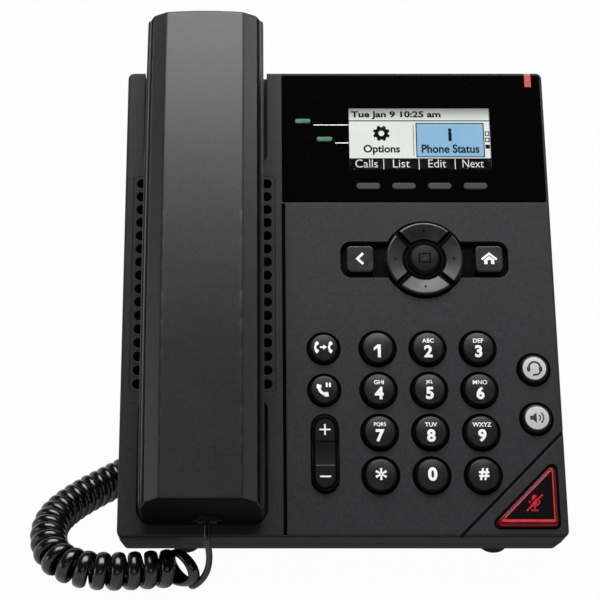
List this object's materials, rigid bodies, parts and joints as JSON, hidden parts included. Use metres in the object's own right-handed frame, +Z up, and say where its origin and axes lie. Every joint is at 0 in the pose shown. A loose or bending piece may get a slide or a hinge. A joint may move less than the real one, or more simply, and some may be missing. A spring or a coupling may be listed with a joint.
{
  "type": "desk telephone",
  "caption": "Desk telephone on a tilted stand with a lift-off handset on a curly cord, loudspeaker grille, display, dial keys, arrow pads, soft keys, volume rocker and lit mute key.",
  "frame": {"origin": "on the desk top, under the middle of the box that holds the telephone without its cord", "axes": "+Z up from the desk, -Y towards the person who dials, +X to that person's right; the face is tilted 40 degrees from the desk"},
  "size_m": [0.2066, 0.1776, 0.1733],
  "materials": {
    "housing": "fine texture",
    "handset": "fine texture",
    "grille": "fine texture",
    "gloss_black": "polished",
    "key_black": "satin",
    "key_grey": "satin",
    "soft_key": "satin",
    "line_green": "lit, translucent",
    "lit_red": "lit, translucent",
    "clear_pane": "polished",
    "screen": "satin",
    "silicone": "matte",
    "board": "solder mask",
    "speaker_steel": "black paint",
    "jack": "moulded",
    "plug": "clear moulded",
    "screw_steel": "zinc plated",
    "foot_rubber": "matte",
    "cord": "smooth jacket"
  },
  "bodies": {
    "base": {"front_housing": "housing", "rear_housing": "housing", "speaker_grille": "grille", "arrow_insert": "gloss_black", "display_bezel": "gloss_black", "display_window": "clear_pane", "lcd_module": "screen", "message_light": "lit_red", "keypad_mat": "silicone", "main_board": "board", "loudspeaker": "speaker_steel", "network_jacks": "jack", "modular_jacks": "jack", "power_jack": "jack", "base_microphone": "speaker_steel", "base_plug": "plug", "housing_screws": "screw_steel", "desk_stand": "housing", "rubber_feet": "foot_rubber", "handset_cord": "cord"},
    "handset": {"handset_outer_shell": "handset", "handset_inner_shell": "handset", "handset_receiver": "speaker_steel", "handset_microphone": "speaker_steel", "handset_socket": "jack", "handset_plug": "plug", "handset_screws": "screw_steel"},
    "hook": {"hook_plunger": "key_black"},
    "volume": {"volume_rocker": "key_black"},
    "mute": {"mute_key": "key_black", "mute_rim": "lit_red"},
    "dial_key_1": {"dial_key_1": "key_black"},
    "dial_key_2": {"dial_key_2": "key_black"},
    "dial_key_3": {"dial_key_3": "key_black"},
    "dial_key_4": {"dial_key_4": "key_black"},
    "dial_key_5": {"dial_key_5": "key_black"},
    "dial_key_6": {"dial_key_6": "key_black"},
    "dial_key_7": {"dial_key_7": "key_black"},
    "dial_key_8": {"dial_key_8": "key_black"},
    "dial_key_9": {"dial_key_9": "key_black"},
    "dial_key_star": {"dial_key_star": "key_black"},
    "dial_key_0": {"dial_key_0": "key_black"},
    "dial_key_pound": {"dial_key_pound": "key_black"},
    "transfer_key": {"transfer_key": "key_black"},
    "hold_key": {"hold_key": "key_black"},
    "headset_key": {"headset_key": "key_grey"},
    "speaker_key": {"speaker_key": "key_grey"},
    "soft_key_1": {"soft_key_1": "soft_key"},
    "soft_key_2": {"soft_key_2": "soft_key"},
    "soft_key_3": {"soft_key_3": "soft_key"},
    "soft_key_4": {"soft_key_4": "soft_key"},
    "line_key_1": {"line_key_1": "line_green"},
    "line_key_2": {"line_key_2": "line_green"},
    "back_key": {"back_key": "key_black"},
    "home_key": {"home_key": "key_black"},
    "select_key": {"select_key": "key_black"},
    "arrow_up": {"arrow_up": "key_black"},
    "arrow_down": {"arrow_down": "key_black"},
    "arrow_left": {"arrow_left": "key_black"},
    "arrow_right": {"arrow_right": "key_black"}
  },
  "joints": [
    {"name": "handset_lift", "type": "slide", "parent": "base", "child": "handset", "axis": [0, -0.6428, 0.766], "range_m": [0, 0.09]},
    {"name": "hook_rise", "type": "slide", "parent": "base", "child": "hook", "axis": [0, -0.6428, 0.766], "range_m": [0, 0.005]},
    {"name": "volume_rock", "type": "hinge", "parent": "base", "child": "volume", "pos_m": [-0.0063, -0.0522, 0.03843], "axis": [1, 0, 0], "range_deg": [-3, 3], "stiffness_Nm_per_rad": 0.18},
    {"name": "press_dial_1", "type": "slide", "parent": "base", "child": "dial_key_1", "axis": [0, 0.6428, -0.766], "range_m": [0, 0.0012], "stiffness_N_per_m": 600},
    {"name": "press_dial_2", "type": "slide", "parent": "base", "child": "dial_key_2", "axis": [0, 0.6428, -0.766], "range_m": [0, 0.0012], "stiffness_N_per_m": 600},
    {"name": "press_dial_3", "type": "slide", "parent": "base", "child": "dial_key_3", "axis": [0, 0.6428, -0.766], "range_m": [0, 0.0012], "stiffness_N_per_m": 600},
    {"name": "press_dial_4", "type": "slide", "parent": "base", "child": "dial_key_4", "axis": [0, 0.6428, -0.766], "range_m": [0, 0.0012], "stiffness_N_per_m": 600},
    {"name": "press_dial_5", "type": "slide", "parent": "base", "child": "dial_key_5", "axis": [0, 0.6428, -0.766], "range_m": [0, 0.0012], "stiffness_N_per_m": 600},
    {"name": "press_dial_6", "type": "slide", "parent": "base", "child": "dial_key_6", "axis": [0, 0.6428, -0.766], "range_m": [0, 0.0012], "stiffness_N_per_m": 600},
    {"name": "press_dial_7", "type": "slide", "parent": "base", "child": "dial_key_7", "axis": [0, 0.6428, -0.766], "range_m": [0, 0.0012], "stiffness_N_per_m": 600},
    {"name": "press_dial_8", "type": "slide", "parent": "base", "child": "dial_key_8", "axis": [0, 0.6428, -0.766], "range_m": [0, 0.0012], "stiffness_N_per_m": 600},
    {"name": "press_dial_9", "type": "slide", "parent": "base", "child": "dial_key_9", "axis": [0, 0.6428, -0.766], "range_m": [0, 0.0012], "stiffness_N_per_m": 600},
    {"name": "press_dial_star", "type": "slide", "parent": "base", "child": "dial_key_star", "axis": [0, 0.6428, -0.766], "range_m": [0, 0.0012], "stiffness_N_per_m": 600},
    {"name": "press_dial_0", "type": "slide", "parent": "base", "child": "dial_key_0", "axis": [0, 0.6428, -0.766], "range_m": [0, 0.0012], "stiffness_N_per_m": 600},
    {"name": "press_dial_pound", "type": "slide", "parent": "base", "child": "dial_key_pound", "axis": [0, 0.6428, -0.766], "range_m": [0, 0.0012], "stiffness_N_per_m": 600},
    {"name": "press_transfer", "type": "slide", "parent": "base", "child": "transfer_key", "axis": [0, 0.6428, -0.766], "range_m": [0, 0.0012], "stiffness_N_per_m": 600},
    {"name": "press_hold", "type": "slide", "parent": "base", "child": "hold_key", "axis": [0, 0.6428, -0.766], "range_m": [0, 0.0012], "stiffness_N_per_m": 600},
    {"name": "press_headset", "type": "slide", "parent": "base", "child": "headset_key", "axis": [0, 0.6428, -0.766], "range_m": [0, 0.0012], "stiffness_N_per_m": 600},
    {"name": "press_speaker", "type": "slide", "parent": "base", "child": "speaker_key", "axis": [0, 0.6428, -0.766], "range_m": [0, 0.0012], "stiffness_N_per_m": 600},
    {"name": "press_soft_1", "type": "slide", "parent": "base", "child": "soft_key_1", "axis": [0, 0.6428, -0.766], "range_m": [0, 0.0012], "stiffness_N_per_m": 600},
    {"name": "press_soft_2", "type": "slide", "parent": "base", "child": "soft_key_2", "axis": [0, 0.6428, -0.766], "range_m": [0, 0.0012], "stiffness_N_per_m": 600},
    {"name": "press_soft_3", "type": "slide", "parent": "base", "child": "soft_key_3", "axis": [0, 0.6428, -0.766], "range_m": [0, 0.0012], "stiffness_N_per_m": 600},
    {"name": "press_soft_4", "type": "slide", "parent": "base", "child": "soft_key_4", "axis": [0, 0.6428, -0.766], "range_m": [0, 0.0012], "stiffness_N_per_m": 600},
    {"name": "press_line_1", "type": "slide", "parent": "base", "child": "line_key_1", "axis": [0, 0.6428, -0.766], "range_m": [0, 0.0012], "stiffness_N_per_m": 600},
    {"name": "press_line_2", "type": "slide", "parent": "base", "child": "line_key_2", "axis": [0, 0.6428, -0.766], "range_m": [0, 0.0012], "stiffness_N_per_m": 600},
    {"name": "press_back", "type": "slide", "parent": "base", "child": "back_key", "axis": [0, 0.6428, -0.766], "range_m": [0, 0.0012], "stiffness_N_per_m": 600},
    {"name": "press_home", "type": "slide", "parent": "base", "child": "home_key", "axis": [0, 0.6428, -0.766], "range_m": [0, 0.0012], "stiffness_N_per_m": 600},
    {"name": "press_select", "type": "slide", "parent": "base", "child": "select_key", "axis": [0, 0.6428, -0.766], "range_m": [0, 0.0012], "stiffness_N_per_m": 600},
    {"name": "press_arrow_up", "type": "slide", "parent": "base", "child": "arrow_up", "axis": [0, 0.6428, -0.766], "range_m": [0, 0.0012], "stiffness_N_per_m": 600},
    {"name": "press_arrow_down", "type": "slide", "parent": "base", "child": "arrow_down", "axis": [0, 0.6428, -0.766], "range_m": [0, 0.0012], "stiffness_N_per_m": 600},
    {"name": "press_arrow_left", "type": "slide", "parent": "base", "child": "arrow_left", "axis": [0, 0.6428, -0.766], "range_m": [0, 0.0012], "stiffness_N_per_m": 600},
    {"name": "press_arrow_right", "type": "slide", "parent": "base", "child": "arrow_right", "axis": [0, 0.6428, -0.766], "range_m": [0, 0.0012], "stiffness_N_per_m": 600},
    {"name": "press_mute", "type": "slide", "parent": "base", "child": "mute", "axis": [0, 0.6428, -0.766], "range_m": [0, 0.0012], "stiffness_N_per_m": 600}
  ],
  "couplings": [
    {"joint": "hook_rise", "follows": "handset_lift", "ratio": 0.055555}
  ]
}
